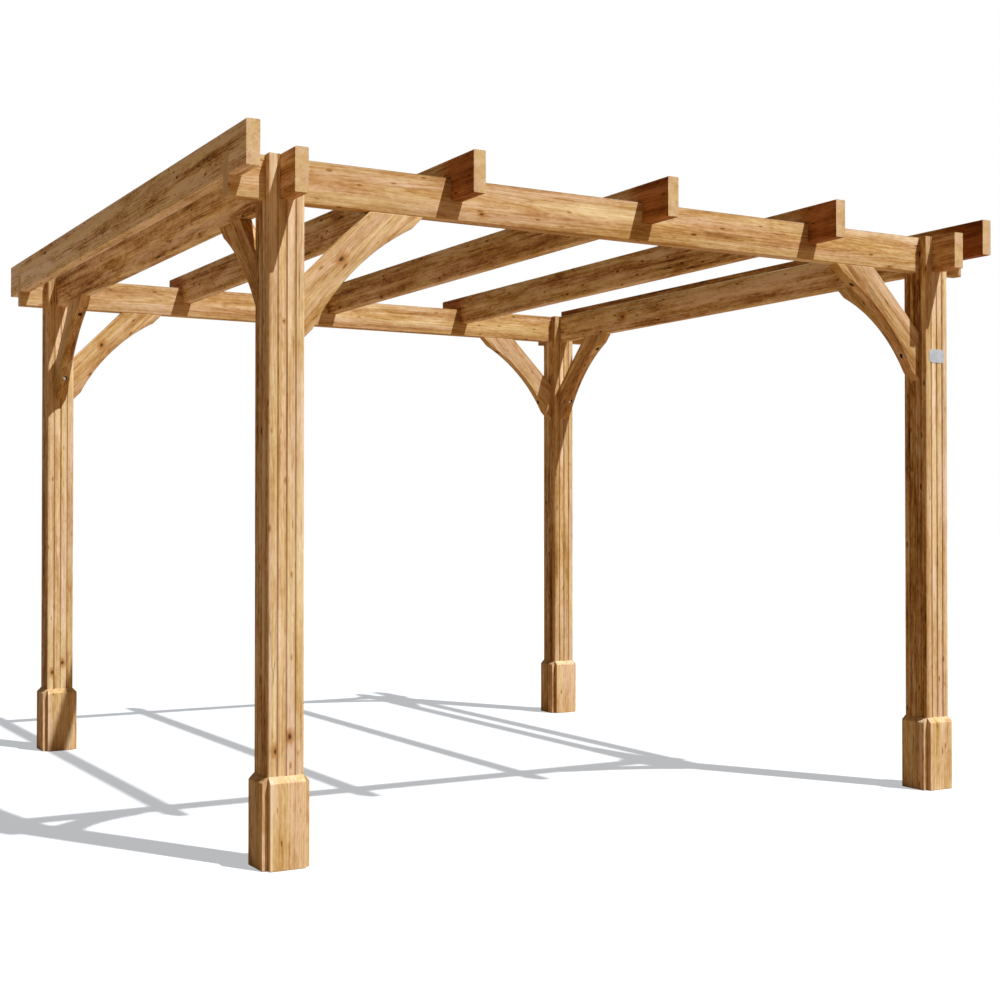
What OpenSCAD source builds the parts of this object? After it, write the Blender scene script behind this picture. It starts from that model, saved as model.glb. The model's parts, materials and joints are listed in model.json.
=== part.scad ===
// Timber pergola: grooved posts with slotted heads, halved beams, notched rafters and curved knee braces.
// Millimetres. The origin is on the ground under the middle of the frame.
// X runs along the front beam to the right, Y from front to back and Z up.

/* [Frame] */
// Distance between post centres along the front
bay_w = 2960; // [2000:10:4000]
// Distance between post centres from front to back
bay_d = 2960; // [2000:10:4000]
// Clear height under the beams
headroom = 2200; // [1900:10:2600]
// Length of each beam and rafter past the post centres
overhang = 190; // [150:5:400]

/* [Timber] */
// Thickness of the beams, rafters and braces
timber_t = 48; // [34:1:60]
// Depth of the beams and rafters
timber_d = 149; // [95:1:195]
// Depth of the notch that lets a rafter down over a beam
rafter_notch = 80; // [40:1:85]
// Chamfer along the long edges
edge_ease = 3; // [0.5:0.5:6]
// Gap on each side of a timber in its slot or halving
fit_gap = 0.5; // [0.1:0.1:2]

/* [Posts] */
// Width of each face of a post
post_w = 126; // [100:2:180]
// Number of V-grooves on each face
groove_count = 3; // [1:1:5]
// Width of a groove at the face
groove_w = 8; // [3:0.5:12]
// Depth of a groove
groove_depth = 5; // [1:0.5:6]

/* [Plinths] */
// Thickness of a plinth board
plinth_t = 20.5; // [12:0.5:30]
// Height of a plinth board against the post
plinth_h = 306; // [150:2:500]
// Angle of the sloping top, in degrees from level
plinth_slope = 45; // [20:5:60]

/* [Braces] */
// Depth of the board that a brace is cut from
brace_d = 145; // [95:1:195]
// Reach of a brace along the beam and down the post
brace_reach = 462; // [380:2:700]
// Straight nose left at each end of the curved edge
nose_len = 64; // [20:2:100]
// Height of the curve between the noses
curve_rise = 40; // [10:1:60]
// Diameter of a screw counterbore
counterbore_d = 20; // [8:1:26]
// Distance of a counterbore from the tip of its nose
counterbore_inset = 102; // [80:2:130]
// Timber left under the head of a screw
screw_grip = 60; // [20:2:66]

/* [Hidden] */
CORNERS = ["front_left", "front_right", "back_right", "back_left"];
SIDES = ["front", "right", "back", "left"];
RAFTERS = ["rafter_1", "rafter_2", "rafter_3", "rafter_4", "rafter_5"];
CROSS_BRACES = ["brace_front_left", "brace_front_right", "brace_back_right", "brace_back_left"];
SIDE_BRACES = ["brace_left_front", "brace_right_front", "brace_right_back", "brace_left_back"];

half_w = bay_w / 2;
half_d = bay_d / 2;
// Post centres in the order of CORNERS
post_at = [[-half_w, -half_d], [half_w, -half_d], [half_w, half_d], [-half_w, half_d]];
// Turn of the front or back brace at each corner, and of the side brace
cross_turn = [0, 180, 180, 0];
side_turn = [90, 90, -90, -90];

beam_top = headroom + timber_d;
cross_len = bay_w + 2 * overhang;
side_len = bay_d + 2 * overhang;
halving = timber_d / 2;
slot_w = timber_t + 2 * fit_gap;
rafter_bottom = beam_top - rafter_notch;
rafter_pitch = (cross_len - timber_t) / (len(RAFTERS) - 1);

brace_heel = brace_reach - brace_d * sqrt(2);
curve_chord = brace_reach * sqrt(2) - 2 * nose_len;
curve_r = curve_chord * curve_chord / (8 * curve_rise) + curve_rise / 2;
// The curve's centre lies on the diagonal, this far out along the beam and down the post
curve_centre = brace_reach / 2 + (curve_r - curve_rise) / sqrt(2);

pine = "#cf9f63";
pine_shade = "#bd8a50";
pine_pale = "#dab27a";
// Cutters run past the faces that they open by this much
past = 5;

// Outline of a timber's section, with its width along X
module timber_section(width, depth) {
    x = width / 2;
    polygon([
        [-x + edge_ease, 0], [x - edge_ease, 0], [x, edge_ease], [x, depth - edge_ease],
        [x - edge_ease, depth], [-x + edge_ease, depth], [-x, depth - edge_ease], [-x, edge_ease]
    ]);
}

// Timber on edge along Y, centred on the origin, with its underside at Z = 0
module timber(length) {
    rotate([90, 0, 0])
        linear_extrude(length, center = true)
            timber_section(timber_t, timber_d);
}

// Cutter for a notch across a timber along Y, upwards from Z = 0
module notch_cut(at, depth) {
    translate([-timber_t / 2 - past, at - slot_w / 2, 0])
        cube([timber_t + 2 * past, slot_w, depth + past]);
}

// Points along one face of a post, from corner to corner, with its grooves
function face_points() = concat(
    [[-post_w / 2 + edge_ease, post_w / 2]],
    [for (i = [1 : groove_count])
        let (mid = (i / (groove_count + 1) - 0.5) * post_w)
        for (step = [-1 : 1])
            [mid + step * groove_w / 2, post_w / 2 - (step == 0 ? groove_depth : 0)]],
    [[post_w / 2 - edge_ease, post_w / 2]]
);

// A point turned clockwise about the origin by quarter turns
function quarter_turned(point, quarters) =
    quarters == 0 ? point : quarter_turned([point.y, -point.x], quarters - 1);

module post(corner) {
    color(pine)
        translate(post_at[corner])
            difference() {
                linear_extrude(beam_top)
                    polygon([for (side = [0 : 3]) for (point = face_points()) quarter_turned(point, side)]);
                for (turn = [0, 90])
                    rotate(turn)
                        translate([-post_w / 2 - past, -slot_w / 2, headroom])
                            cube([post_w + 2 * past, slot_w, timber_d + past]);
            }
}

// Board against one face of a post, with its top sloping away
module plinth_board(corner, side) {
    color(pine_pale)
        translate(post_at[corner])
            rotate(90 * side)
                translate([-post_w / 2, -post_w / 2, 0])
                    rotate([90, 0, 90])
                        linear_extrude(post_w)
                            polygon([
                                [0, 0], [0, plinth_h],
                                [-plinth_t, plinth_h - plinth_t * tan(plinth_slope)], [-plinth_t, 0]
                            ]);
}

// Beam along the front or back, halved from the top where the side beams cross
module cross_beam(y) {
    color(pine)
        translate([0, y, headroom])
            rotate(-90)
                difference() {
                    timber(cross_len);
                    for (x = [-half_w, half_w])
                        translate([0, 0, halving])
                            notch_cut(x, halving);
                }
}

// Timber along Y with its underside at a given height, notched from below over the front and back beams
module notched_timber(x, z, notch) {
    translate([x, 0, z])
        difference() {
            timber(side_len);
            for (y = [-half_d, half_d])
                translate([0, 0, -past])
                    notch_cut(y, notch);
        }
}

module side_beam(x) {
    color(pine_shade)
        notched_timber(x, headroom, halving);
}

module rafter(index) {
    color(pine_pale)
        notched_timber((index - (len(RAFTERS) - 1) / 2) * rafter_pitch, rafter_bottom, rafter_notch);
}

// Face of a brace, with the post along -Y and the beam along X
module brace_face() {
    difference() {
        polygon([[brace_heel, 0], [brace_reach, 0], [0, -brace_reach], [0, -brace_heel]]);
        translate([curve_centre, -curve_centre])
            circle(r = curve_r, $fn = 180);
    }
}

module brace(corner, turn) {
    hole_at = brace_reach - counterbore_inset;
    color(pine)
        translate([post_at[corner].x, post_at[corner].y, headroom])
            rotate(turn)
                translate([post_w / 2, 0, 0])
                    difference() {
                        rotate([90, 0, 0])
                            linear_extrude(timber_t, center = true)
                                brace_face();
                        translate([screw_grip, 0, -hole_at])
                            rotate([0, 90, 0])
                                cylinder(d = counterbore_d, h = brace_reach, $fn = 48);
                        translate([hole_at, 0, -screw_grip])
                            rotate([180, 0, 0])
                                cylinder(d = counterbore_d, h = brace_reach, $fn = 48);
                    }
}

for (corner = [0 : len(CORNERS) - 1]) {
    post(corner);
    for (side = [0 : len(SIDES) - 1]) {
        plinth_board(corner, side);
    }
    brace(corner, cross_turn[corner]);
    brace(corner, side_turn[corner]);
}
cross_beam(-half_d);  // front_beam
cross_beam(half_d);  // back_beam
side_beam(-half_w);  // left_beam
side_beam(half_w);  // right_beam
for (index = [0 : len(RAFTERS) - 1]) {
    rafter(index);
}
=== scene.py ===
"""Looks of a timber pergola: pine with its own grain on every board, screws, a bare plate and a studio."""

import json
import logging
import math
import random
from dataclasses import dataclass
from enum import Enum
from functools import partialmethod
from typing import Any, Optional

import bmesh
import bpy
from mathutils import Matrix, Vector


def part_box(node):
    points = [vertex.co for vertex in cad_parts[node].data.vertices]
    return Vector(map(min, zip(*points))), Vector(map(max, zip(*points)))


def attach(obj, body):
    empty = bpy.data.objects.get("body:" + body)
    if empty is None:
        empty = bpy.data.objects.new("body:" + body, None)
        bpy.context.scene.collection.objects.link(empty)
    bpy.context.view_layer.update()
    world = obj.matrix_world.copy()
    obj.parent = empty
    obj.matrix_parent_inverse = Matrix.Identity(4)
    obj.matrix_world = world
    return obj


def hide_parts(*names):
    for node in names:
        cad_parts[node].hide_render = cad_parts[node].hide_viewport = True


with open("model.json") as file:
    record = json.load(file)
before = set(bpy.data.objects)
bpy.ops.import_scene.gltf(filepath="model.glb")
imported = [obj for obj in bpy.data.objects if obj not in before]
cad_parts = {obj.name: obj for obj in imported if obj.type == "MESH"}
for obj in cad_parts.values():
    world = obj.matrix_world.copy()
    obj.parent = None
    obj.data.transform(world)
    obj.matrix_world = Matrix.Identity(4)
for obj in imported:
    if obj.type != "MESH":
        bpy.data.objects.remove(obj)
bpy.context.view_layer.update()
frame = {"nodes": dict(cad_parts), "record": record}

log = logging.getLogger("pergola")

Socket = bpy.types.NodeSocket
Material = bpy.types.Material
Thing = bpy.types.Object
Triple = tuple[float, float, float]
Colour = Triple

BODY = "root"
UP = Vector((0.0, 0.0, 1.0))
RIGHTWARD = Vector((1.0, 0.0, 0.0))
BACKWARD = Vector((0.0, 1.0, 0.0))
WHITE = (1.0, 1.0, 1.0)

# Attributes of the timbers' meshes
GRAIN = "grain"
MARK = "mark"
# Deeper stain and painted shade on boards and sides turned from the sun
STAIN_AND_SHADE = "stain"
# Each board's share of the painted shade past the front and back beams
OVERHANG_SHADE_SHARE = "soak"
KNOT = "knot"

# Points closer than this are one
WELD = 1e-6
# Edges that turn by less than this are shaded smooth
FLAT_ANGLE = math.radians(20.0)
# Profile of an eased edge that is part of a circle
ROUND = 0.5
# Share of a face's normal that lies along a direction: above FACING the face looks that way,
# above SLANTING it leans that way, and below EDGE_ON it lies along it
FACING = 0.95
SLANTING = 0.3
EDGE_ON = 0.15


class Named(Enum):
    """A choice whose name is part of the CAD nodes' names."""

    @property
    def label(self) -> str:
        """The name as the CAD nodes spell it."""
        return self.name.lower()


class Corner(Named):
    """A post, with the side of the frame that it stands on along X and along Y."""

    FRONT_LEFT = (-1, -1)
    FRONT_RIGHT = (1, -1)
    BACK_RIGHT = (1, 1)
    BACK_LEFT = (-1, 1)


class Side(Named):
    """A face of a post, by its outward direction and its depth of stain and painted shade."""

    FRONT = (0, -1, 0.15)
    RIGHT = (1, 0, 0.4)
    BACK = (0, 1, 0.8)
    LEFT = (-1, 0, 0.9)

    @property
    def outward(self) -> Vector:
        """The side's outward normal."""
        return Vector((*self.value[:2], 0.0))

    @property
    def stain(self) -> float:
        """How deep the stain and painted shade are, from 0 on the sides that the sun lights to 1 on the sides
        in shade.
        """
        return self.value[2]


class Ray(Enum):
    """Kinds of light path that see the plain white background."""

    CAMERA = "Is Camera Ray"
    GLOSSY = "Is Glossy Ray"
    TRANSMISSION = "Is Transmission Ray"


class Value:
    """A number, a vector or a colour in a node tree."""

    def __init__(self, graph: "Graph", socket: Socket) -> None:
        """Keep the graph and the socket that gives the value."""
        self.graph = graph
        self.socket = socket

    def apply(self, operation: str, *others: Any, clamp: bool = False) -> "Value":
        """Put this number and others through a Math node."""
        inputs = dict(enumerate((self, *others)))
        return self.graph.value("ShaderNodeMath", inputs, operation=operation, use_clamp=clamp)

    # Arithmetic with numbers
    __add__ = partialmethod(apply, "ADD")
    __sub__ = partialmethod(apply, "SUBTRACT")
    __mul__ = partialmethod(apply, "MULTIPLY")
    __truediv__ = partialmethod(apply, "DIVIDE")
    __pow__ = partialmethod(apply, "POWER")

    def __rsub__(self, other: float) -> "Value":
        """A constant less this number."""
        return self.apply("MULTIPLY_ADD", -1.0, other)

    def length(self, other: "Value") -> "Value":
        """The length of a vector with two numbers as its parts."""
        return (self * self + other * other).apply("SQRT")

    def smooth(self, low: float, high: float) -> "Value":
        """Rise smoothly from 0 at low to 1 at high, or fall if low is above high."""
        inputs = {"Value": self, "From Min": low, "From Max": high}
        return self.graph.value("ShaderNodeMapRange", inputs, "Result", interpolation_type="SMOOTHSTEP")

    def scaled(self, factors: Triple) -> "Value":
        """Multiply a vector or a colour part by part."""
        return self.graph.value("ShaderNodeVectorMath", {0: self, 1: factors}, operation="MULTIPLY")

    def shaded(self, level: "Value") -> "Value":
        """Multiply a colour by a number."""
        return self.graph.value("ShaderNodeVectorMath", {0: self, "Scale": level}, operation="SCALE")

    def parts(self) -> list["Value"]:
        """Split a vector into its three parts."""
        node = self.graph.add("ShaderNodeSeparateXYZ", {0: self})
        return [Value(self.graph, output) for output in node.outputs]

    def noise(self, factors: Triple, detail: float, roughness: float = 0.5) -> "Value":
        """Soft noise from 0 to 1 at this place, with so many features per metre each way."""
        inputs = {"Vector": self.scaled(factors), "Scale": 1.0, "Detail": detail, "Roughness": roughness}
        return self.graph.value("ShaderNodeTexNoise", inputs, "Fac")

    def bump(self, strength: float, depth: float) -> "Value":
        """The normal of a surface that stands as high as this number says."""
        inputs = {"Strength": strength, "Distance": depth, "Height": self}
        return self.graph.value("ShaderNodeBump", inputs)


class Graph:
    """A node tree under construction."""

    # Sockets of a Mix node for its factor and two colours, and for the blend
    MIX_INPUTS = (0, 6, 7)
    MIX_RESULT = 2

    def __init__(self, tree: bpy.types.NodeTree) -> None:
        """Keep the tree and clear it."""
        self.tree = tree
        tree.nodes.clear()

    def feed(self, socket: Socket, value: Any) -> None:
        """Link or set an input.

        Args:
            socket: the input.
            value: a value to link from, or a constant.
        """
        if isinstance(value, Value):
            self.tree.links.new(value.socket, socket)
        elif socket.type == "RGBA":
            socket.default_value = (*value, 1.0)
        else:
            socket.default_value = value

    def add(self, kind: str, inputs: Optional[dict] = None, **settings: Any) -> bpy.types.Node:
        """Add a node.

        Args:
            kind: the node's type.
            inputs: constants or values by input name or index.
            settings: the node's own properties.

        Returns:
            The new node.
        """
        node = self.tree.nodes.new(kind)
        for name, value in settings.items():
            setattr(node, name, value)
        for key, value in (inputs or {}).items():
            self.feed(node.inputs[key], value)
        return node

    def value(self, kind: str, inputs: Optional[dict] = None, output: Any = 0, **settings: Any) -> Value:
        """Add a node and take one of its outputs."""
        return Value(self, self.add(kind, inputs, **settings).outputs[output])

    def attribute(self, name: str, output: str = "Vector") -> Value:
        """Read an attribute of the mesh."""
        return self.value("ShaderNodeAttribute", None, output, attribute_name=name)

    def place(self) -> Value:
        """Where a point lies in the frame."""
        return self.value("ShaderNodeTexCoord", None, "Object")

    def mix(self, factor: Any, first: Any, second: Any, blend: str = "MIX") -> Value:
        """Blend two colours, by the share of the second."""
        inputs = dict(zip(self.MIX_INPUTS, (factor, first, second)))
        return self.value("ShaderNodeMix", inputs, self.MIX_RESULT, data_type="RGBA", blend_type=blend)

    def surface(self, inputs: dict) -> None:
        """End a material in a principled shader with these inputs."""
        shader = self.value("ShaderNodeBsdfPrincipled", inputs)
        self.add("ShaderNodeOutputMaterial", {"Surface": shader})


def new_material(name: str) -> tuple[Material, Graph]:
    """Start a node material.

    Args:
        name: the material's name.

    Returns:
        The material and its empty graph.
    """
    material = bpy.data.materials.new(name)
    material.use_nodes = True
    return material, Graph(material.node_tree)


def link_new(name: str, data: Any) -> Thing:
    """Put a new object in the scene.

    Args:
        name: the object's name.
        data: its mesh, camera or lamp.

    Returns:
        The object.
    """
    thing = bpy.data.objects.new(name, data)
    bpy.context.scene.collection.objects.link(thing)
    return thing


def shade_smooth(mesh: bpy.types.Mesh) -> None:
    """Shade a mesh smooth between its sharp edges."""
    mesh.polygons.foreach_set("use_smooth", [True] * len(mesh.polygons))
    mesh.set_sharp_from_angle(angle=FLAT_ANGLE)


def slot_of(node: str) -> str:
    """The record's material slot of a CAD node."""
    return next(part["material_slot"] for part in frame["record"]["subparts"] if part["node"] == node)


def report(piece: Thing) -> None:
    """Log a finished piece."""
    log.info("%s: %d faces", piece.name, len(piece.data.polygons))


class Spot:
    """A spot on a board, as the attributes of the timber's mesh describe it."""

    def __init__(self, g: Graph) -> None:
        """Read the attributes.

        Args:
            g: the material's graph.
        """
        self.grain = g.attribute(GRAIN)
        # The mark's last part is wear above 0, and grime or painted shade below 0
        self.tone, self.end, self.wear = g.attribute(MARK).parts()
        self.stain = g.attribute(STAIN_AND_SHADE, "Fac")
        self.soak = g.attribute(OVERHANG_SHADE_SHARE, "Fac")
        self.knot = g.value("ShaderNodeVectorMath", {0: g.attribute(KNOT)}, "Value", operation="LENGTH")


@dataclass(frozen=True)
class Ramp:
    """A smooth change from 0 where it starts to its strength where it is full."""

    start: float
    full: float
    strength: float = 1.0

    def read(self, value: Value) -> Value:
        """How far the change has come at a number."""
        return value.smooth(self.start, self.full) * self.strength


@dataclass(frozen=True)
class Noise:
    """Noise that follows the grain: features per metre along and across, and its finer layers."""

    along: float
    across: float
    detail: float = 3.0
    roughness: float = 0.5

    def read(self, grain: Value) -> Value:
        """The noise on a board, about 0.5 on average."""
        return grain.noise((self.along, self.across, self.across), self.detail, self.roughness)

    def swing(self, grain: Value) -> Value:
        """The noise on a board, about 0 on average."""
        return self.read(grain) - 0.5


@dataclass(frozen=True)
class Blotch(Noise):
    """One layer of uneven stain and its strength."""

    strength: float = 0.4


@dataclass(frozen=True)
class Streak(Noise):
    """Dark marks along the grain, where the noise is high."""

    mark: Ramp = Ramp(0.64, 0.76, 0.14)


@dataclass(frozen=True)
class Twigs:
    """Small dark marks where twigs grew: how many per metre, how large they are and how dark."""

    along: float = 8.0
    across: float = 26.0
    mark: Ramp = Ramp(0.15, 0.05, 0.34)

    def read(self, grain: Value) -> Value:
        """How dark a mark is, and 0 outside the marks."""
        inputs = {"Vector": grain.scaled((self.along, self.across, self.across)), "Scale": 1.0}
        return self.mark.read(grain.graph.value("ShaderNodeTexVoronoi", inputs, "Distance"))


@dataclass(frozen=True)
class Knots:
    """Where branches left the trunk: how close together and how thick they are, and how a knot looks."""

    per_metre: float = 3.2
    least_radius: float = 0.003
    spread: float = 0.006
    share_absent: float = 0.35
    climb: float = 0.25
    bend_radius: float = 0.008
    outline: Noise = Noise(70.0, 170.0, 3.0, 0.6)
    outline_swing: float = 1.7
    outline_least: float = 0.2
    core: Ramp = Ramp(0.95, 0.35, 0.90)
    core_colour: Colour = (0.085, 0.034, 0.013)
    halo: Ramp = Ramp(2.9, 0.7, 0.85)
    halo_colour: Colour = (0.50, 0.22, 0.055)

    def nearest(self, spot: Spot, place: list[Value]) -> tuple[Value, Value]:
        """Find the nearest branch, or the knot that a board is known by if that is nearer.

        Args:
            spot: the spot on a board.
            place: distances along, across and through, from the heart of the trunk.

        Returns:
            The distance from the branch's axis, and the same in the branch's radii.
        """
        along, across, deep = place
        g = along.graph
        cell = g.add("ShaderNodeTexVoronoi", {"W": along, "Scale": self.per_metre}, voronoi_dimensions="1D")
        turn, thick, seen = Value(g, cell.outputs["Color"]).parts()
        angle = turn * math.tau
        cosine = angle.apply("COSINE")
        sine = angle.apply("SINE")
        outward = across * cosine + deep * sine
        aside = across * sine - deep * cosine
        rise = along - (outward * self.climb + Value(g, cell.outputs["W"]) / self.per_metre)
        absent = seen.apply("LESS_THAN", self.share_absent)
        hidden = outward.apply("LESS_THAN", 0.0).apply("MAXIMUM", absent)
        distance = rise.length(aside) + hidden
        share = distance / (thick * self.spread + self.least_radius)
        return distance.apply("MINIMUM", spot.knot * self.bend_radius), share.apply("MINIMUM", spot.knot)

    def paint(self, colour: Value, spot: Spot, share: Value) -> tuple[Value, Value]:
        """Draw a knot's dark core and its stained surround, both with a broken outline.

        Args:
            colour: the clear wood's colour.
            spot: the spot on a board.
            share: distance from the knot's axis in its radii.

        Returns:
            The wood's colour with its knots, and the strength of the core.
        """
        mix = colour.graph.mix
        ragged = share * (self.outline.read(spot.grain) * self.outline_swing + self.outline_least)
        core = self.core.read(ragged)
        return mix(core, mix(self.halo.read(ragged), colour, self.halo_colour), self.core_colour), core


@dataclass(frozen=True)
class Rings:
    """Growth rings: their width and depth, how they waver and how far they bend round a knot."""

    width: float = 0.0066
    depth: float = 0.14
    average: float = 0.3
    waver: Noise = Noise(1.5, 8.0)
    waver_swing: float = 0.020
    bend_reach: float = 0.024
    bend_height: float = 0.0128
    bend_power: float = -2.0
    late_power: float = 2.2
    drop_rate: float = 8.0

    def read(self, spot: Spot, place: list[Value], distance: Value) -> Value:
        """Draw rings round the heart, bent round the knots.

        Args:
            spot: the spot on a board.
            place: distances along, across and through, from the heart of the trunk.
            distance: distance from the nearest knot's axis.

        Returns:
            0 in early wood, rising to 1 in late wood.
        """
        _, across, deep = place
        share = distance / self.bend_reach
        bend = (share * share + 1.0) ** self.bend_power * self.bend_height
        reach = across.length(deep) + self.waver.read(spot.grain) * self.waver_swing + bend
        phase = (reach / self.width).apply("FRACT")
        return (phase ** self.late_power).apply("MINIMUM", (1.0 - phase) * self.drop_rate)


@dataclass(frozen=True)
class Checks:
    """Fine drying checks: how they run, how wide they are, where they show and how dark they are."""

    line: Noise = Noise(1.3, 46.0, 2.0)
    width: Ramp = Ramp(0.012, 0.0036)
    region: Noise = Noise(1.1, 7.0, 1.0)
    region_edge: Ramp = Ramp(0.60, 0.68)
    loss: float = 0.55

    def read(self, grain: Value) -> Value:
        """1 in a check, which is long and thin along the grain, and 0 elsewhere."""
        thin = self.width.read(self.line.swing(grain).apply("ABSOLUTE"))
        return thin * self.region_edge.read(self.region.read(grain))


@dataclass(frozen=True)
class Rain:
    """Painted shade past the front and back beams, darker and redder: where it starts and is full, its depth,
    share and cast.
    """

    reach: Ramp = Ramp(1.36, 1.52)
    depth: float = 0.90
    share: float = 0.55
    cast: Colour = (0.92, 0.66, 0.56)

    def read(self, g: Graph, spot: Spot) -> Value:
        """0 between the beams and on end grain, rising to the board's own share past the beams."""
        past = self.reach.read(g.place().parts()[1].apply("ABSOLUTE"))
        return past * spot.soak * (1.0 - spot.end)


@dataclass(frozen=True)
class Relief:
    """Heights of the fine features, in parts of the bump's depth."""

    rings: float = 0.25
    fibre: float = 0.5
    checks: float = -1.0
    knots: float = -0.4
    strength: float = 0.6
    depth: float = 0.0012


@dataclass(frozen=True)
class PineFinish:
    """Planed pine under a honey-brown stain, read from each board's own grain coordinates."""

    name: str = "stained_pine"
    tones: tuple[tuple[float, Colour], ...] = (
        (0.00, (0.97, 0.80, 0.57)),
        (0.35, (0.74, 0.535, 0.300)),
        (0.56, (0.56, 0.325, 0.125)),
        (0.82, (0.28, 0.125, 0.036)),
        (1.00, (0.12, 0.048, 0.014)),
    )
    blotches: tuple[Blotch, ...] = (
        Blotch(0.7, 24.0, 2.0, 0.58, 0.66),
        Blotch(3.0, 17.0, 2.0, 0.50, 0.62),
        Blotch(10.0, 46.0, 3.0, 0.58, 0.38),
        Blotch(2.2, 120.0, 3.0, 0.58, 0.52),
        Blotch(32.0, 120.0, 3.0, 0.58, 0.44),
    )
    streaks: tuple[Streak, ...] = (
        Streak(3.0, 120.0, 3.0, 0.6, Ramp(0.58, 0.76, 0.12)),
        Streak(15.0, 120.0, 3.0, 0.6, Ramp(0.64, 0.74, 0.20)),
        Streak(48.0, 330.0, 3.0, 0.6, Ramp(0.64, 0.76, 0.14)),
    )
    fibre: Noise = Noise(9.0, 480.0, 3.0, 0.6)
    fibre_swing: float = 0.26
    fibre_least: float = 0.87
    cast: Noise = Noise(1.5, 20.0)
    cast_ramp: Ramp = Ramp(0.34, 0.66)
    pink_cast: Colour = (1.02, 0.978, 1.04)
    gold_cast: Colour = (1.0, 0.988, 0.82)
    base_depth: float = 0.37
    # Painted shade: boards and sides turned from the sun are stained deeper and with more contrast
    stain_depth: float = 0.13
    base_contrast: float = 0.90
    stain_contrast: float = 0.82
    tone_swing: float = 0.10
    end_depth: float = 0.36
    end_contrast: float = 0.28
    heart_bends: float = 0.8
    heart_wander: float = 0.06
    worn_lift: float = 0.06
    # Darkening by grime on tops and by painted shade in grooves and holes
    grime_loss: float = 0.85
    roughness: float = 0.60
    roughness_swing: float = 0.12
    specular: float = 0.04
    knots: Knots = Knots()
    twigs: Twigs = Twigs()
    rings: Rings = Rings()
    checks: Checks = Checks()
    rain: Rain = Rain()
    relief: Relief = Relief()

    def make(self) -> Material:
        """Build the material.

        Returns:
            The pine material.
        """
        material, g = new_material(self.name)
        spot = Spot(g)
        place = self._wandering(spot)
        distance, share = self.knots.nearest(spot, place)
        late = self.rings.read(spot, place, distance)
        fibre = self.fibre.read(spot.grain)
        checks = self.checks.read(spot.grain)
        # Painted shade: darker and redder wood past the front and back beams
        overhang_shaded = self.rain.read(g, spot)
        depth = self._depth(spot, late)
        depth = depth + overhang_shaded * self.rain.share * (self.rain.depth - depth)
        cast = self.cast_ramp.read(self.cast.read(spot.grain))
        cast_colour = g.mix(cast, self.pink_cast, self.gold_cast)
        colour = g.mix(1.0, self._tone(depth), cast_colour, "MULTIPLY")
        colour = g.mix(overhang_shaded, colour, colour.scaled(self.rain.cast))
        colour = colour.shaded(self._level(spot, fibre, checks))
        colour, core = self.knots.paint(colour, spot, share)
        relief = self.relief
        height = late * relief.rings + fibre * relief.fibre + checks * relief.checks + core * relief.knots
        g.surface({
            "Base Color": colour,
            "Roughness": depth * self.roughness_swing + self.roughness,
            "Normal": height.bump(relief.strength, relief.depth),
            "Specular IOR Level": self.specular,
        })
        return material

    def _tone(self, depth: Value) -> Value:
        """Turn a depth of stain into the wood's colour.

        Args:
            depth: 0 for the palest wood and 1 for the darkest.

        Returns:
            The colour.
        """
        node = depth.graph.add("ShaderNodeValToRGB", {"Fac": depth})
        stops = node.color_ramp.elements
        for place, _ in self.tones[1:-1]:
            stops.new(place)
        for stop, (place, colour) in zip(stops, self.tones):
            stop.position = place
            stop.color = (*colour, 1.0)
        return Value(depth.graph, node.outputs["Color"])

    def _depth(self, spot: Spot, late: Value) -> Value:
        """How deep the stain is: blotches, dark marks along the grain and the late wood of the rings, deeper
        and stronger where painted shade is set.

        Args:
            spot: the spot on a board.
            late: 1 in the late wood of the rings.

        Returns:
            0 for the palest wood and 1 for the darkest.
        """
        grain, stain, end = spot.grain, spot.stain, spot.end
        uneven = (late - self.rings.average) * self.rings.depth + self.twigs.read(grain)
        for layer in self.blotches:
            uneven = uneven + layer.swing(grain) * layer.strength
        for layer in self.streaks:
            uneven = uneven + layer.mark.read(layer.read(grain))
        # Painted shade: deeper and stronger stain on boards and sides turned from the sun
        contrast = stain * self.stain_contrast + self.base_contrast
        contrast = contrast * (end * (self.end_contrast - 1.0) + 1.0)
        mean = stain * self.stain_depth + spot.tone * self.tone_swing + self.base_depth
        mean = mean + end * (self.end_depth - mean)
        return (uneven * contrast).apply("ADD", mean, clamp=True)

    def _level(self, spot: Spot, fibre: Value, checks: Value) -> Value:
        """Brightness from worn edges, grime on tops, painted shade in grooves and holes, fibres and checks.

        Args:
            spot: the spot on a board, whose wear is below 0 where grime or painted shade darkens it.
            fibre: fine noise.
            checks: 1 in a drying check.

        Returns:
            A factor on the colour.
        """
        lift = spot.wear.apply("MAXIMUM", 0.0) * self.worn_lift
        # Grime on tops and painted shade in grooves and holes darken the colour
        loss = spot.wear.apply("MINIMUM", 0.0) * self.grime_loss
        open_grain = 1.0 - checks * self.checks.loss
        return (lift + loss + 1.0) * (fibre * self.fibre_swing + self.fibre_least) * open_grain

    def _wandering(self, spot: Spot) -> list[Value]:
        """Let the heart of the trunk wander along the board.

        Args:
            spot: the spot on a board.

        Returns:
            Distances along, across and through, from the wandering heart.
        """
        along, across, deep = spot.grain.parts()
        inputs = {"W": along, "Scale": self.heart_bends, "Detail": 1.0}
        drift = along.graph.value("ShaderNodeTexNoise", inputs, "Color", noise_dimensions="1D").parts()
        across = across + (drift[0] - 0.5) * self.heart_wander
        deep = deep + (drift[1] - 0.5) * self.heart_wander
        return [along, across, deep]


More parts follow.
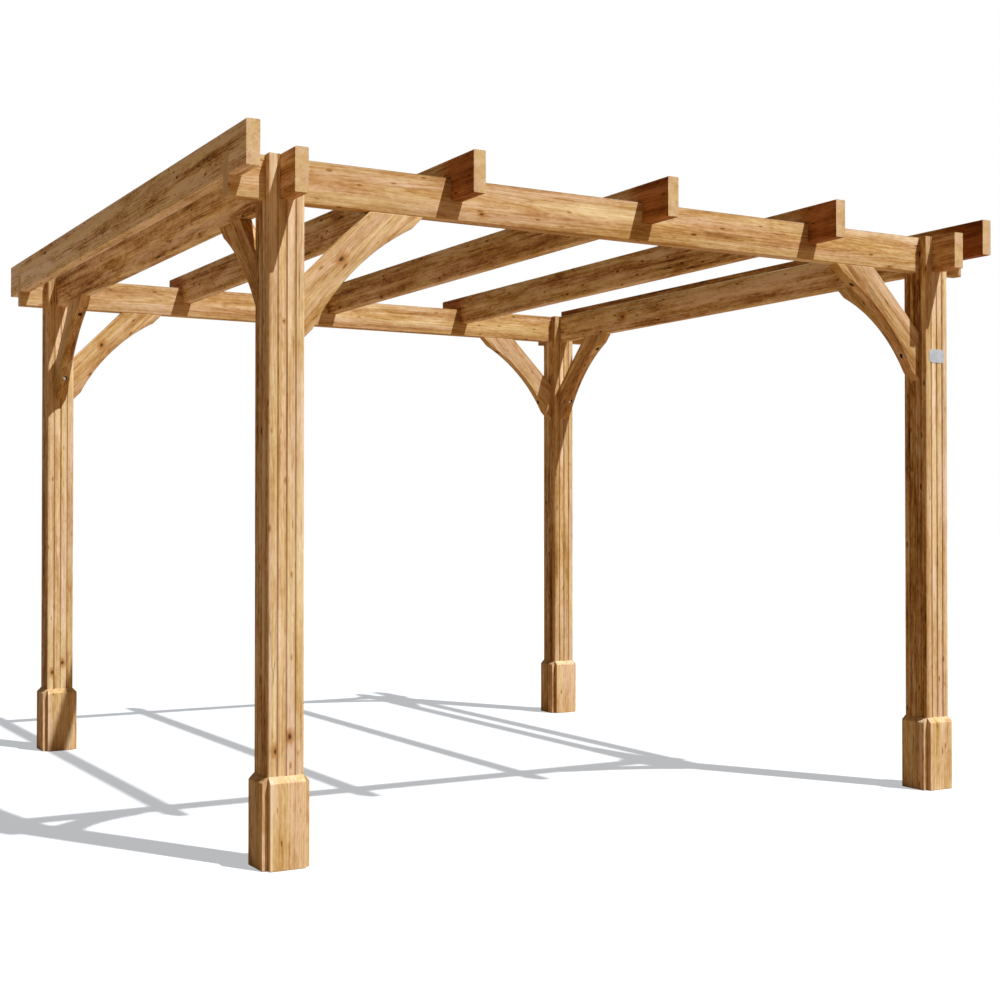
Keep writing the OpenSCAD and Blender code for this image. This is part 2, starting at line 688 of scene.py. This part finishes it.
@dataclass(frozen=True)
class MetalFinish:
    """Metal of two colours, mixed by a fine grain and by clouds, with brush lines if the grain is raised."""

    name: str
    base: Colour
    second: Colour
    grain: Triple
    metallic: float
    roughness: float
    roughness_swing: float
    grain_detail: float = 3.0
    grain_share: float = 1.0
    cloud: Triple = (38.0, 38.0, 38.0)
    cloud_detail: float = 1.0
    cloud_ramp: Ramp = Ramp(0.32, 0.68, 0.0)
    bump_strength: float = 0.0
    bump_depth: float = 0.0002

    def make(self) -> Material:
        """Build the material.

        Returns:
            The metal's material.
        """
        material, g = new_material(self.name)
        grain = g.place().noise(self.grain, self.grain_detail)
        cloud = self.cloud_ramp.read(g.place().noise(self.cloud, self.cloud_detail))
        g.surface({
            "Base Color": g.mix(grain * self.grain_share + cloud, self.base, self.second),
            "Metallic": self.metallic,
            "Roughness": grain * self.roughness_swing + self.roughness,
            "Normal": grain.bump(self.bump_strength, self.bump_depth),
        })
        return material


# Bright zinc for the screws
ZINC = MetalFinish("bright_zinc", (0.80, 0.80, 0.77), (0.58, 0.58, 0.55), (900.0, 900.0, 900.0),
                   metallic=0.9, roughness=0.22, roughness_swing=0.2)
# Pale blue-grey sheet for the plate, brushed from side to side: the blue-grey tint and the clouds are a
# painted sky reflection
SHEET = MetalFinish("anodised_sheet", (0.42, 0.48, 0.55), (0.58, 0.61, 0.63), (60.0, 60.0, 3200.0),
                    metallic=0.35, roughness=0.36, roughness_swing=0.15, grain_share=0.4,
                    cloud_ramp=Ramp(0.32, 0.68, 0.6), bump_strength=0.15)


@dataclass(frozen=True)
class KnownKnot:
    """A knot that a board is known by: its middle, its radius and how much longer it is along the grain."""

    place: Vector
    radius: float
    stretch: float = 1.5


# Stands for the known knot of a board that has none, too far away to show
NO_KNOT = KnownKnot(Vector((900.0, 900.0, 900.0)), 1.0)


@dataclass(frozen=True)
class Board:
    """One sawn board: its directions, the heart of its trunk, its own tone, how deep its stain and painted
    shade are, and its share of painted overhang shade.
    """

    along: Vector
    across: Vector
    heart: Vector
    shift: float
    tone: float
    stain: float
    soak: float
    knot: KnownKnot

    def coordinates(self, point: Vector) -> Vector:
        """Distances of a point along, across and through the board, from the heart of its trunk."""
        along, across, through = self._parts(point - self.heart)
        return Vector((along + self.shift, across, through))

    def knot_offset(self, point: Vector) -> Vector:
        """A point's offset from the known knot, in the knot's radii."""
        along, across, through = self._parts(point - self.knot.place)
        return Vector((along / self.knot.stretch, across, through)) / self.knot.radius

    def _parts(self, offset: Vector) -> tuple[float, float, float]:
        """An offset's parts along, across and through the board."""
        through = self.along.cross(self.across)
        return offset.dot(self.along), offset.dot(self.across), offset.dot(through)


@dataclass(frozen=True)
class Sawmill:
    """How one kind of board is cut: how far off the trunk's heart lies, its tone, its depth of stain and
    painted shade, and its share of painted overhang shade.
    """

    heart_reach: float
    stain: float = 0.0
    tone: float = 0.0
    swing: float = 0.5
    soak: float = 0.0
    most_aside: float = 0.6
    least_deep: float = 0.5
    shifts: tuple[float, float] = (3.0, 60.0)

    def saw(self, key: str, along: Vector, across: Vector, middle: Vector, stain: Optional[float] = None,
            knot: KnownKnot = NO_KNOT) -> Board:
        """Saw a board from a trunk of its own.

        Args:
            key: the board's name, which seeds its chances.
            along: the way its fibres run.
            across: the way its width runs.
            middle: the board's middle.
            stain: its depth of stain and painted shade, if not the usual one.
            knot: the knot that it is known by.

        Returns:
            The board.
        """
        chance = random.Random(key)
        side = chance.choice((-1.0, 1.0))
        heart = middle + across * chance.uniform(-self.most_aside, self.most_aside) * self.heart_reach
        heart += along.cross(across) * side * chance.uniform(self.least_deep, 1.0) * self.heart_reach
        shift = chance.uniform(*self.shifts)
        tone = self.tone + chance.uniform(-self.swing, self.swing)
        depth = self.stain if stain is None else stain
        return Board(along, across, heart, shift, tone, depth, self.soak, knot)


@dataclass
class Timber:
    """A CAD node dressed as real timber: edges eased, and every face marked with its board's grain."""

    node: str
    ease: float
    ease_steps: int = 2
    ease_angle: float = math.radians(28.0)
    least_edge: float = 0.006
    merge_angle: float = math.radians(0.3)
    narrow_face: float = 0.0052
    end_facing: float = 0.8

    def __post_init__(self) -> None:
        """Measure the node and saw its boards."""
        self.low, self.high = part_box(self.node)
        self.middle = (self.low + self.high) / 2.0
        self.sawn = self.boards()

    def boards(self) -> list[Board]:
        """The boards that the timber is made of."""
        raise NotImplementedError

    def board_at(self, centre: Vector) -> Board:
        """The board that a face belongs to, by the face's centre."""
        return self.sawn[0]

    def grime(self, centre: Vector, normal: Vector) -> float:
        """How much grime or painted shade darkens a face, from 0 to 1, by its centre and normal."""
        return 0.0

    def build(self) -> Thing:
        """Copy the node's mesh, ease its edges and link it as a new piece.

        Returns:
            The new piece.
        """
        mesh = bpy.data.meshes.new(f"{self.node}_timber")
        shape = bmesh.new()
        shape.from_mesh(frame["nodes"][self.node].data)
        bmesh.ops.remove_doubles(shape, verts=shape.verts, dist=WELD)
        bmesh.ops.dissolve_limit(shape, angle_limit=self.merge_angle, verts=shape.verts, edges=shape.edges)
        sharp = [e for e in shape.edges if self._is_eased(e)]
        bmesh.ops.bevel(shape, geom=sharp, offset=self.ease, offset_type="OFFSET", segments=self.ease_steps,
                        profile=ROUND, affect="EDGES", clamp_overlap=True)
        shape.to_mesh(mesh)
        shape.free()
        shade_smooth(mesh)
        return link_new(mesh.name, mesh)

    def _is_eased(self, edge: bmesh.types.BMEdge) -> bool:
        """Whether an edge is an outer corner that a plane would ease."""
        corner = len(edge.link_faces) == 2 and edge.is_convex and edge.calc_length() > self.least_edge
        return corner and edge.calc_face_angle() > self.ease_angle

    def mark(self, mesh: bpy.types.Mesh) -> None:
        """Write each face corner's grain coordinates, its marks, its stain and painted shade, its share of
        painted overhang shade and its place from the known knot.

        Args:
            mesh: the piece's mesh.
        """
        grain, marks, stain_and_shade_values, overhang_shade_shares, knots = [], [], [], [], []
        for face in mesh.polygons:
            board = self.board_at(face.center)
            end = 1.0 if abs(face.normal.dot(board.along)) > self.end_facing else 0.0
            grime = self.grime(face.center, face.normal)
            # Grime or painted shade darkens a face, and a narrow eased edge is worn lighter
            wear = -grime if grime else float(self._is_narrow(mesh, face))
            for corner in face.vertices:
                point = mesh.vertices[corner].co
                grain.extend(board.coordinates(point))
                marks.extend((board.tone, end, wear))
                stain_and_shade_values.append(board.stain)
                overhang_shade_shares.append(board.soak)
                knots.extend(board.knot_offset(point))
        for name, values in ((GRAIN, grain), (MARK, marks), (KNOT, knots)):
            mesh.attributes.new(name, "FLOAT_VECTOR", "CORNER").data.foreach_set("vector", values)
        for name, values in ((STAIN_AND_SHADE, stain_and_shade_values), (OVERHANG_SHADE_SHARE, overhang_shade_shares)):
            mesh.attributes.new(name, "FLOAT", "CORNER").data.foreach_set("value", values)

    def _is_narrow(self, mesh: bpy.types.Mesh, face: bpy.types.MeshPolygon) -> bool:
        """Whether a face is a chamfer or an eased edge."""
        rim = sum((mesh.vertices[a].co - mesh.vertices[b].co).length for a, b in face.edge_keys)
        return 2.0 * face.area / rim < self.narrow_face

    def dress(self, material: Material) -> Thing:
        """Build the timber, mark it, finish it and put it in the place of its node.

        Args:
            material: the wood's material.

        Returns:
            The finished piece.
        """
        piece = self.build()
        self.mark(piece.data)
        piece.data.materials.append(material)
        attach(piece, BODY)
        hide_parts(self.node)
        slot_of(self.node)
        return piece


@dataclass
class LongTimber(Timber):
    """A beam or a rafter: one board on edge, with its fibres along its length."""

    ease: float = 0.0012
    mill: Sawmill = Sawmill(0.085)
    knot: KnownKnot = NO_KNOT
    top_grime: float = 0.24
    edge_grime: float = 0.60

    def boards(self) -> list[Board]:
        """One board, along the longer side of the node's box."""
        along = max((RIGHTWARD, BACKWARD), key=(self.high - self.low).dot)
        return [self.mill.saw(self.node, along, UP, self.middle, knot=self.knot)]

    def grime(self, centre: Vector, normal: Vector) -> float:
        """Weather on the top, and more of it on the slanting upper edges."""
        below = self.edge_grime if normal.z > SLANTING else 0.0
        return self.top_grime if normal.z > FACING else below


@dataclass
class PlinthBoard(Timber):
    """An upright board at the foot of a post."""

    side: Side = Side.FRONT
    ease: float = 0.0022
    mill: Sawmill = Sawmill(0.07, tone=-0.25)
    # Share of its side's stain and painted shade that a plinth board takes
    shelter: float = 0.6

    def boards(self) -> list[Board]:
        """One board, upright, with its width along the post's face."""
        across = UP.cross(self.side.outward)
        return [self.mill.saw(self.node, UP, across, self.middle, self.shelter * self.side.stain)]


@dataclass
class Post(Timber):
    """A square post whose grooved faces show a strip of timber between each pair of grooves."""

    corner: Corner = Corner.FRONT_LEFT
    strips: int = 4
    ease: float = 0.0009
    mill: Sawmill = Sawmill(0.055, swing=0.8)
    corner_margin: float = 0.010
    # Painted shade on the slanting walls of the grooves
    groove_grime: float = 0.20
    # Known knots on the front of the left posts: place across the face, height and radius
    front_knots: tuple[Triple, ...] = (
        (-0.037, 0.388, 0.0095),
        (-0.010, 1.798, 0.0040),
        (0.012, 0.433, 0.0095),
    )

    def boards(self) -> list[Board]:
        """The strips of every face, side by side in the order of the sides."""
        self.width = self.high.x - self.low.x
        return [strip for side in Side for strip in self._face_strips(side)]

    def _face_strips(self, side: Side) -> list[Board]:
        """Saw the strips of one face.

        Args:
            side: the face.

        Returns:
            Its strips, in order.
        """
        across = UP.cross(side.outward)
        centre = self.middle + side.outward * self.width / 2.0
        known = {}
        if side is Side.FRONT and self.corner in (Corner.FRONT_LEFT, Corner.BACK_LEFT):
            for place, height, radius in self.front_knots:
                known[self._strip(place)] = KnownKnot(Vector((centre.x + place, centre.y, height)), radius)
        return [self.mill.saw(f"{self.node}_{side.label}_{i}", UP, across, centre, side.stain,
                              known.get(i, NO_KNOT))
                for i in range(self.strips)]

    def _strip(self, place: float) -> int:
        """Which strip lies at a place across a face, measured from the face's middle."""
        return min(self.strips - 1, max(0, int((place / self.width + 0.5) * self.strips)))

    def board_at(self, centre: Vector) -> Board:
        """Find the strip that a face belongs to.

        Args:
            centre: the face's centre.

        Returns:
            The strip at that place, on the side that is nearest.
        """
        offset = centre - self.middle
        sides = list(Side)
        nearest = max(sides, key=lambda side: offset.dot(side.outward))
        strip = self._strip(offset.dot(UP.cross(nearest.outward)))
        return self.sawn[sides.index(nearest) * self.strips + strip]

    def grime(self, centre: Vector, normal: Vector) -> float:
        """Painted shade on the wall of a groove, which slants and lies away from the post's corners."""
        inside = min(map(abs, (centre - self.middle).xy)) < self.width / 2.0 - self.corner_margin
        return self.groove_grime if inside and min(map(abs, normal.xy)) > SLANTING else 0.0


@dataclass
class Brace(Timber):
    """A knee brace cut from a board that rises at 45 degrees from its post to its beam."""

    towards: Vector = RIGHTWARD
    ease: float = 0.0028
    ease_steps: int = 3
    mill: Sawmill = Sawmill(0.09, tone=0.5)
    # Depth of stain and painted shade
    stain: float = 0.2
    knot_place: Optional[tuple[float, float]] = None
    knot_radius: float = 0.0110
    screw_grip: float = 0.060
    screw_inset: float = 0.102
    bore_reach: float = 0.0105

    def boards(self) -> list[Board]:
        """Find the brace's corner and its two screws, and saw one board along it.

        Returns:
            The board.
        """
        reach = self.high.z - self.low.z
        self.corner = self.middle + (UP - self.towards) * reach / 2.0
        self.seats = self._screw_seats(reach - self.screw_inset)
        along = (self.towards + UP).normalized()
        across = (self.towards - UP).normalized()
        return [self.mill.saw(self.node, along, across, self.middle, self.stain, self._known_knot())]

    def _known_knot(self) -> KnownKnot:
        """Place the knot on the brace's front face, out along the beam and down the post.

        Returns:
            The knot, or none that shows.
        """
        if self.knot_place is None:
            return NO_KNOT
        out, down = self.knot_place
        place = self.corner + self.towards * out - UP * down
        place.y = self.low.y
        return KnownKnot(place, self.knot_radius)

    def _screw_seats(self, hole: float) -> list[tuple[Vector, Vector]]:
        """Where each screw sits at the bottom of its hole, and which way its head faces."""
        return [(self.corner + self.towards * self.screw_grip - UP * hole, self.towards.copy()),
                (self.corner + self.towards * hole - UP * self.screw_grip, -UP)]

    def grime(self, centre: Vector, normal: Vector) -> float:
        """Put full painted shade on the walls and the bottoms of the screw holes.

        Args:
            centre: the face's centre.
            normal: the face's normal.

        Returns:
            1 in a hole and 0 elsewhere.
        """
        # Painted shade in the screw holes
        for seat, way in self.seats:
            offset = centre - seat
            aside = (offset - way * offset.dot(way)).length
            slant = abs(normal.dot(way))
            if aside < self.bore_reach and (slant < EDGE_ON or slant > FACING):
                return 1.0
        return 0.0


@dataclass
class Frame:
    """The whole timber frame, in the order in which it is put up."""

    rafters: int = 5
    sunny_mill: Sawmill = Sawmill(0.055, tone=-0.6, swing=0.9)
    # Rafters and side beams are seen on their shaded sides: their stain values carry painted shade, and their
    # soak values painted shade past the beams
    rafter_mill: Sawmill = Sawmill(0.085, stain=1.1, tone=-1.1, soak=1.0)
    left_mill: Sawmill = Sawmill(0.085, stain=1.2, tone=-0.8, soak=0.5)
    right_mill: Sawmill = Sawmill(0.085, stain=1.3, tone=-1.4, soak=0.5)
    first_mill: Sawmill = Sawmill(0.085, stain=1.7, tone=-3.4)
    last_mill: Sawmill = Sawmill(0.085, stain=0.4, tone=2.8, soak=1.0)
    cross_mill: Sawmill = Sawmill(0.085, stain=0.1, tone=0.75)
    # Side braces face away from the sun: their deeper stain is painted shade
    side_brace_stain: float = 0.55
    # Known knot of the left posts' cross braces: how far out along the beam and down the post
    brace_knot: tuple[float, float] = (0.150, 0.172)
    # Known knots of beams and rafters: place and radius
    long_knots: tuple[tuple[str, Triple, float], ...] = (
        ("front_beam", (-0.7225, -1.504, 2.233), 0.007),
        ("right_beam", (1.456, 0.770, 2.272), 0.013),
        ("rafter_3", (-0.024, 0.780, 2.278), 0.013),
    )

    def __post_init__(self) -> None:
        """Lay out every timber."""
        mills = {Corner.FRONT_LEFT: self.sunny_mill}
        self.posts = [Post(f"post_{c.label}", corner=c, mill=mills.get(c, Post.mill)) for c in Corner]
        self.plinths = [PlinthBoard(f"plinth_{c.label}_{s.label}", side=s) for c in Corner for s in Side]
        beam_mills = {"front": self.cross_mill, "back": self.cross_mill,
                      "left": self.left_mill, "right": self.right_mill}
        self.beams = [self._long(f"{side}_beam", mill) for side, mill in beam_mills.items()]
        rafter_mills = [self.first_mill] + [self.rafter_mill] * (self.rafters - 2) + [self.last_mill]
        self.roof = [self._long(f"rafter_{i}", mill) for i, mill in enumerate(rafter_mills, 1)]
        self.braces = [brace for corner in Corner for brace in self._corner_braces(corner)]

    def _long(self, node: str, mill: Sawmill) -> LongTimber:
        """A beam or a rafter with the knot that it is known by, if it has one."""
        known = {name: KnownKnot(Vector(place), radius) for name, place, radius in self.long_knots}
        return LongTimber(node, mill=mill, knot=known.get(node, NO_KNOT))

    def _corner_braces(self, corner: Corner) -> list[Brace]:
        """Lay out the two braces at a corner, one under each beam.

        Args:
            corner: the corner.

        Returns:
            The cross brace and the side brace.
        """
        x_sign, y_sign = corner.value
        row, column = corner.label.split("_")
        knot = self.brace_knot if column == Side.LEFT.label else None
        return [Brace(f"brace_{row}_{column}", towards=RIGHTWARD * -x_sign, knot_place=knot),
                Brace(f"brace_{column}_{row}", towards=BACKWARD * -y_sign, stain=self.side_brace_stain)]

    def dress(self, material: Material) -> None:
        """Dress every timber in the wood's material."""
        for timber in [*self.posts, *self.plinths, *self.beams, *self.roof, *self.braces]:
            report(timber.dress(material))


@dataclass
class ScrewSet:
    """The screws that hold the braces, one at the bottom of each counterbore."""

    flange_radius: float = 0.0092
    flange_thickness: float = 0.0025
    head_radius: float = 0.0068
    head_height: float = 0.0085
    head_taper: float = 0.82
    socket_radius: float = 0.0031
    socket_depth: float = 0.0030
    socket_sides: int = 6
    sides: int = 32
    seed: int = 7
    name: str = "brace_screws"
    aim: str = "aim"

    def sizes(self) -> dict[str, float]:
        """Name the node tree's inputs.

        Returns:
            Sizes by name.
        """
        return {"Flange Radius": self.flange_radius, "Flange Thickness": self.flange_thickness,
                "Head Radius": self.head_radius, "Head Height": self.head_height,
                "Socket Radius": self.socket_radius, "Socket Depth": self.socket_depth}

    def tree(self, material: Material) -> bpy.types.NodeTree:
        """Geometry nodes that put a screw head on every point, turned to its own direction.

        Args:
            material: the screws' material.

        Returns:
            The node group.
        """
        group = bpy.data.node_groups.new(self.name, "GeometryNodeTree")
        face = group.interface
        face.new_socket("Geometry", in_out="INPUT", socket_type="NodeSocketGeometry")
        for label in self.sizes():
            face.new_socket(label, in_out="INPUT", socket_type="NodeSocketFloat")
        face.new_socket("Seed", in_out="INPUT", socket_type="NodeSocketInt")
        face.new_socket("Geometry", in_out="OUTPUT", socket_type="NodeSocketGeometry")
        g = Graph(group)
        given = {output.name: Value(g, output) for output in g.add("NodeGroupInput").outputs}
        screw = self._screw(g, given)
        aim = g.value("GeometryNodeInputNamedAttribute", {"Name": self.aim}, data_type="FLOAT_VECTOR")
        turn = g.value("FunctionNodeAlignRotationToVector", {"Vector": aim}, axis="Z")
        inputs = {"Points": given["Geometry"], "Instance": screw, "Rotation": turn}
        placed = g.value("GeometryNodeInstanceOnPoints", inputs)
        spin = g.add("FunctionNodeRandomValue", {"Min": 0.0, "Max": math.tau, "Seed": given["Seed"]})
        angle = Value(g, next(o for o in spin.outputs if o.type == "VALUE" and o.enabled))
        inputs = {"Instances": placed, "Rotation": self._upright(g, angle)}
        spun = g.value("GeometryNodeRotateInstances", inputs)
        real = g.value("GeometryNodeRealizeInstances", {"Geometry": spun})
        finished = g.value("GeometryNodeSetMaterial", {"Geometry": real, "Material": material})
        g.add("NodeGroupOutput", {"Geometry": finished})
        return group

    def _screw(self, g: Graph, given: dict[str, Value]) -> Value:
        """Model one screw head: a flange, and a tapered head with a socket.

        Args:
            g: the graph.
            given: the tree's inputs by name.

        Returns:
            The head, with its axis along Z.
        """
        inputs = {"Vertices": self.sides, "Radius": given["Flange Radius"]}
        thickness = given["Flange Thickness"]
        flange = g.value("GeometryNodeMeshCylinder", {**inputs, "Depth": thickness}, "Mesh")
        bottom, height = given["Head Radius"], given["Head Height"]
        inputs = {"Vertices": self.sides, "Radius Bottom": bottom, "Radius Top": bottom * self.head_taper}
        head = g.value("GeometryNodeMeshCone", {**inputs, "Depth": height}, "Mesh")
        depth = given["Socket Depth"] * 2.0
        inputs = {"Vertices": self.socket_sides, "Radius": given["Socket Radius"], "Depth": depth}
        socket = g.value("GeometryNodeMeshCylinder", inputs, "Mesh")
        inputs = {"Geometry": socket, "Translation": self._upright(g, height)}
        inputs = {"Mesh 1": head, "Mesh 2": g.value("GeometryNodeTransform", inputs)}
        drilled = g.value("GeometryNodeMeshBoolean", inputs, "Mesh", operation="DIFFERENCE")
        whole = g.add("GeometryNodeJoinGeometry")
        for part in (flange, drilled):
            g.feed(whole.inputs[0], part)
        return Value(g, whole.outputs[0])

    def _upright(self, g: Graph, length: Value) -> Value:
        """A vector along Z."""
        return g.value("ShaderNodeCombineXYZ", {"Z": length})

    def build(self, braces: list[Brace], material: Material) -> Thing:
        """Make all the screws as one plain mesh.

        Args:
            braces: the braces that they hold.
            material: their material.

        Returns:
            The screws.
        """
        seats = [seat for brace in braces for seat in brace.seats]
        points = bpy.data.meshes.new("screw_seats")
        points.from_pydata([place for place, _ in seats], [], [])
        aims = [part for _, way in seats for part in way]
        points.attributes.new(self.aim, "FLOAT_VECTOR", "POINT").data.foreach_set("vector", aims)
        seed_object = link_new("screw_seats", points)
        modifier = seed_object.modifiers.new(self.name, "NODES")
        modifier.node_group = self.tree(material)
        values = {**self.sizes(), "Seed": self.seed}
        for item in modifier.node_group.interface.items_tree:
            if item.in_out == "INPUT" and item.name in values:
                modifier[item.identifier] = values[item.name]
        seen = seed_object.evaluated_get(bpy.context.evaluated_depsgraph_get())
        mesh = bpy.data.meshes.new_from_object(seen)
        mesh.name = self.name
        seed_object.modifiers.remove(modifier)
        bpy.data.objects.remove(seed_object)
        screws = link_new(self.name, mesh)
        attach(screws, BODY)
        return screws


@dataclass
class BarePlate:
    """A small bare plate with round corners on the front of the right front post."""

    post: str = "post_front_right"
    width: float = 0.086
    height: float = 0.056
    thickness: float = 0.0014
    corner_radius: float = 0.014
    corner_steps: int = 8
    centre_height: float = 1.841
    edge: float = 0.0004
    edge_steps: int = 2
    name: str = "bare_plate"

    def outline(self) -> list[tuple[float, float]]:
        """Draw the plate's rim.

        Returns:
            Points round the plate, with its middle at the origin.
        """
        x = self.width / 2.0 - self.corner_radius
        z = self.height / 2.0 - self.corner_radius
        points = []
        for quarter, (sx, sz) in enumerate(((1, 1), (-1, 1), (-1, -1), (1, -1))):
            for step in range(self.corner_steps + 1):
                angle = math.pi / 2.0 * (quarter + step / self.corner_steps)
                points.append((sx * x + self.corner_radius * math.cos(angle),
                               sz * z + self.corner_radius * math.sin(angle)))
        return points

    def build(self, material: Material) -> Thing:
        """Make the plate against the post's front face.

        Args:
            material: its material.

        Returns:
            The plate.
        """
        low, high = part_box(self.post)
        middle_x = (low.x + high.x) / 2.0
        shape = bmesh.new()
        rim = [shape.verts.new((middle_x + x, low.y, self.centre_height + z)) for x, z in self.outline()]
        back = shape.faces.new(rim)
        raised = bmesh.ops.extrude_face_region(shape, geom=[back])
        lifted = [v for v in raised["geom"] if isinstance(v, bmesh.types.BMVert)]
        bmesh.ops.translate(shape, vec=(0.0, -self.thickness, 0.0), verts=lifted)
        bmesh.ops.recalc_face_normals(shape, faces=shape.faces)
        front = [e for e in shape.edges if all(abs(v.co.y - low.y + self.thickness) < WELD for v in e.verts)]
        bmesh.ops.bevel(shape, geom=front, offset=self.edge, segments=self.edge_steps, profile=ROUND,
                        affect="EDGES")
        mesh = bpy.data.meshes.new(self.name)
        shape.to_mesh(mesh)
        shape.free()
        shade_smooth(mesh)
        mesh.materials.append(material)
        plate = link_new(self.name, mesh)
        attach(plate, BODY)
        return plate


@dataclass(frozen=True)
class Lamp:
    """A far lamp: the way its light goes, its level on a white face, its width and its colour."""

    name: str
    travel: Triple
    level: float
    angle_deg: float
    colour: Colour

    def hang(self) -> None:
        """Put the lamp in the scene."""
        data = bpy.data.lights.new(self.name, "SUN")
        data.energy = math.pi * self.level
        data.angle = math.radians(self.angle_deg)
        data.color = self.colour
        lamp = link_new(self.name, data)
        lamp.rotation_mode = "QUATERNION"
        lamp.rotation_quaternion = Vector(self.travel).to_track_quat("-Z", "Y")


@dataclass
class Studio:
    """White floor and background, a low sun from the front right, a weak fill and the camera."""

    eye: Triple = (-3.3792, -6.2288, 1.1498)
    turn_deg: float = 30.037
    tilt_deg: float = 0.689
    focal_share: float = 1.52383
    sensor: float = 36.0
    sight: float = 200.0
    lamps: tuple[Lamp, ...] = (
        Lamp("sun", (-0.289, 0.5136, -1.0), 1.38, 0.7, (1.0, 1.03, 1.08)),
        Lamp("front_fill", (-0.45, 1.0, -0.12), 0.04, 40.0, (1.0, 0.50, 0.20)),
    )
    sky_colour: Colour = (1.0, 0.60, 0.32)
    sky_level: float = 0.07
    floor_half: float = 60.0
    floor_seen: Colour = (0.50, 0.50, 0.50)
    floor_bounce: Colour = (0.385, 0.255, 0.142)
    glow_colour: Colour = (0.94, 1.0, 1.05)
    glow_level: float = 0.470

    def camera(self) -> None:
        """Stand the camera where the picture was taken from."""
        data = bpy.data.cameras.new("camera")
        data.sensor_width = self.sensor
        data.lens = self.sensor * self.focal_share
        data.clip_end = self.sight
        camera = link_new("camera", data)
        camera.location = self.eye
        camera.rotation_euler = (math.radians(90.0 + self.tilt_deg), 0.0, -math.radians(self.turn_deg))
        bpy.context.scene.camera = camera

    def _seen_share(self, g: Graph) -> Value:
        """1 for the rays that see the plain background, and 0 for the others."""
        camera, glossy, through = [g.value("ShaderNodeLightPath", None, ray.value) for ray in Ray]
        return camera.apply("MAXIMUM", glossy).apply("MAXIMUM", through)

    def sky(self) -> None:
        """Make the sky plain white to the eye, and a soft warm light on the timber."""
        world = bpy.data.worlds.new("sky")
        world.use_nodes = True
        bpy.context.scene.world = world
        g = Graph(world.node_tree)
        seen = self._seen_share(g)
        lit = g.value("ShaderNodeBackground", {"Color": self.sky_colour, "Strength": self.sky_level})
        white = g.value("ShaderNodeBackground", {"Color": WHITE, "Strength": 1.0})
        both = g.value("ShaderNodeMixShader", {0: seen, 1: lit, 2: white})
        g.add("ShaderNodeOutputWorld", {"Surface": both})

    def floor(self) -> None:
        """Lay a white floor that keeps the shadows."""
        half = self.floor_half
        corners = [(-half, -half, 0.0), (half, -half, 0.0), (half, half, 0.0), (-half, half, 0.0)]
        mesh = bpy.data.meshes.new("floor")
        mesh.from_pydata(corners, [], [(0, 1, 2, 3)])
        material, g = new_material("white_floor")
        seen = self._seen_share(g)
        matt = g.value("ShaderNodeBsdfDiffuse", {"Color": g.mix(seen, self.floor_bounce, self.floor_seen)})
        level = seen * self.glow_level
        glow = g.value("ShaderNodeEmission", {"Color": self.glow_colour, "Strength": level})
        both = g.value("ShaderNodeAddShader", {0: matt, 1: glow})
        g.add("ShaderNodeOutputMaterial", {"Surface": both})
        mesh.materials.append(material)
        floor = link_new("floor", mesh)

    def build(self) -> None:
        """Set up the camera, the light and the floor."""
        bpy.context.scene.view_settings.view_transform = "Standard"
        self.camera()
        self.sky()
        for lamp in self.lamps:
            lamp.hang()
        self.floor()


def main() -> None:
    """Build the studio, the frame, its screws and its plate."""
    logging.basicConfig(level=logging.INFO, format="%(message)s")
    Studio().build()
    pergola = Frame()
    pergola.dress(PineFinish().make())
    report(ScrewSet().build(pergola.braces, ZINC.make()))
    report(BarePlate().build(SHEET.make()))


if __name__ == "__main__":
    main()
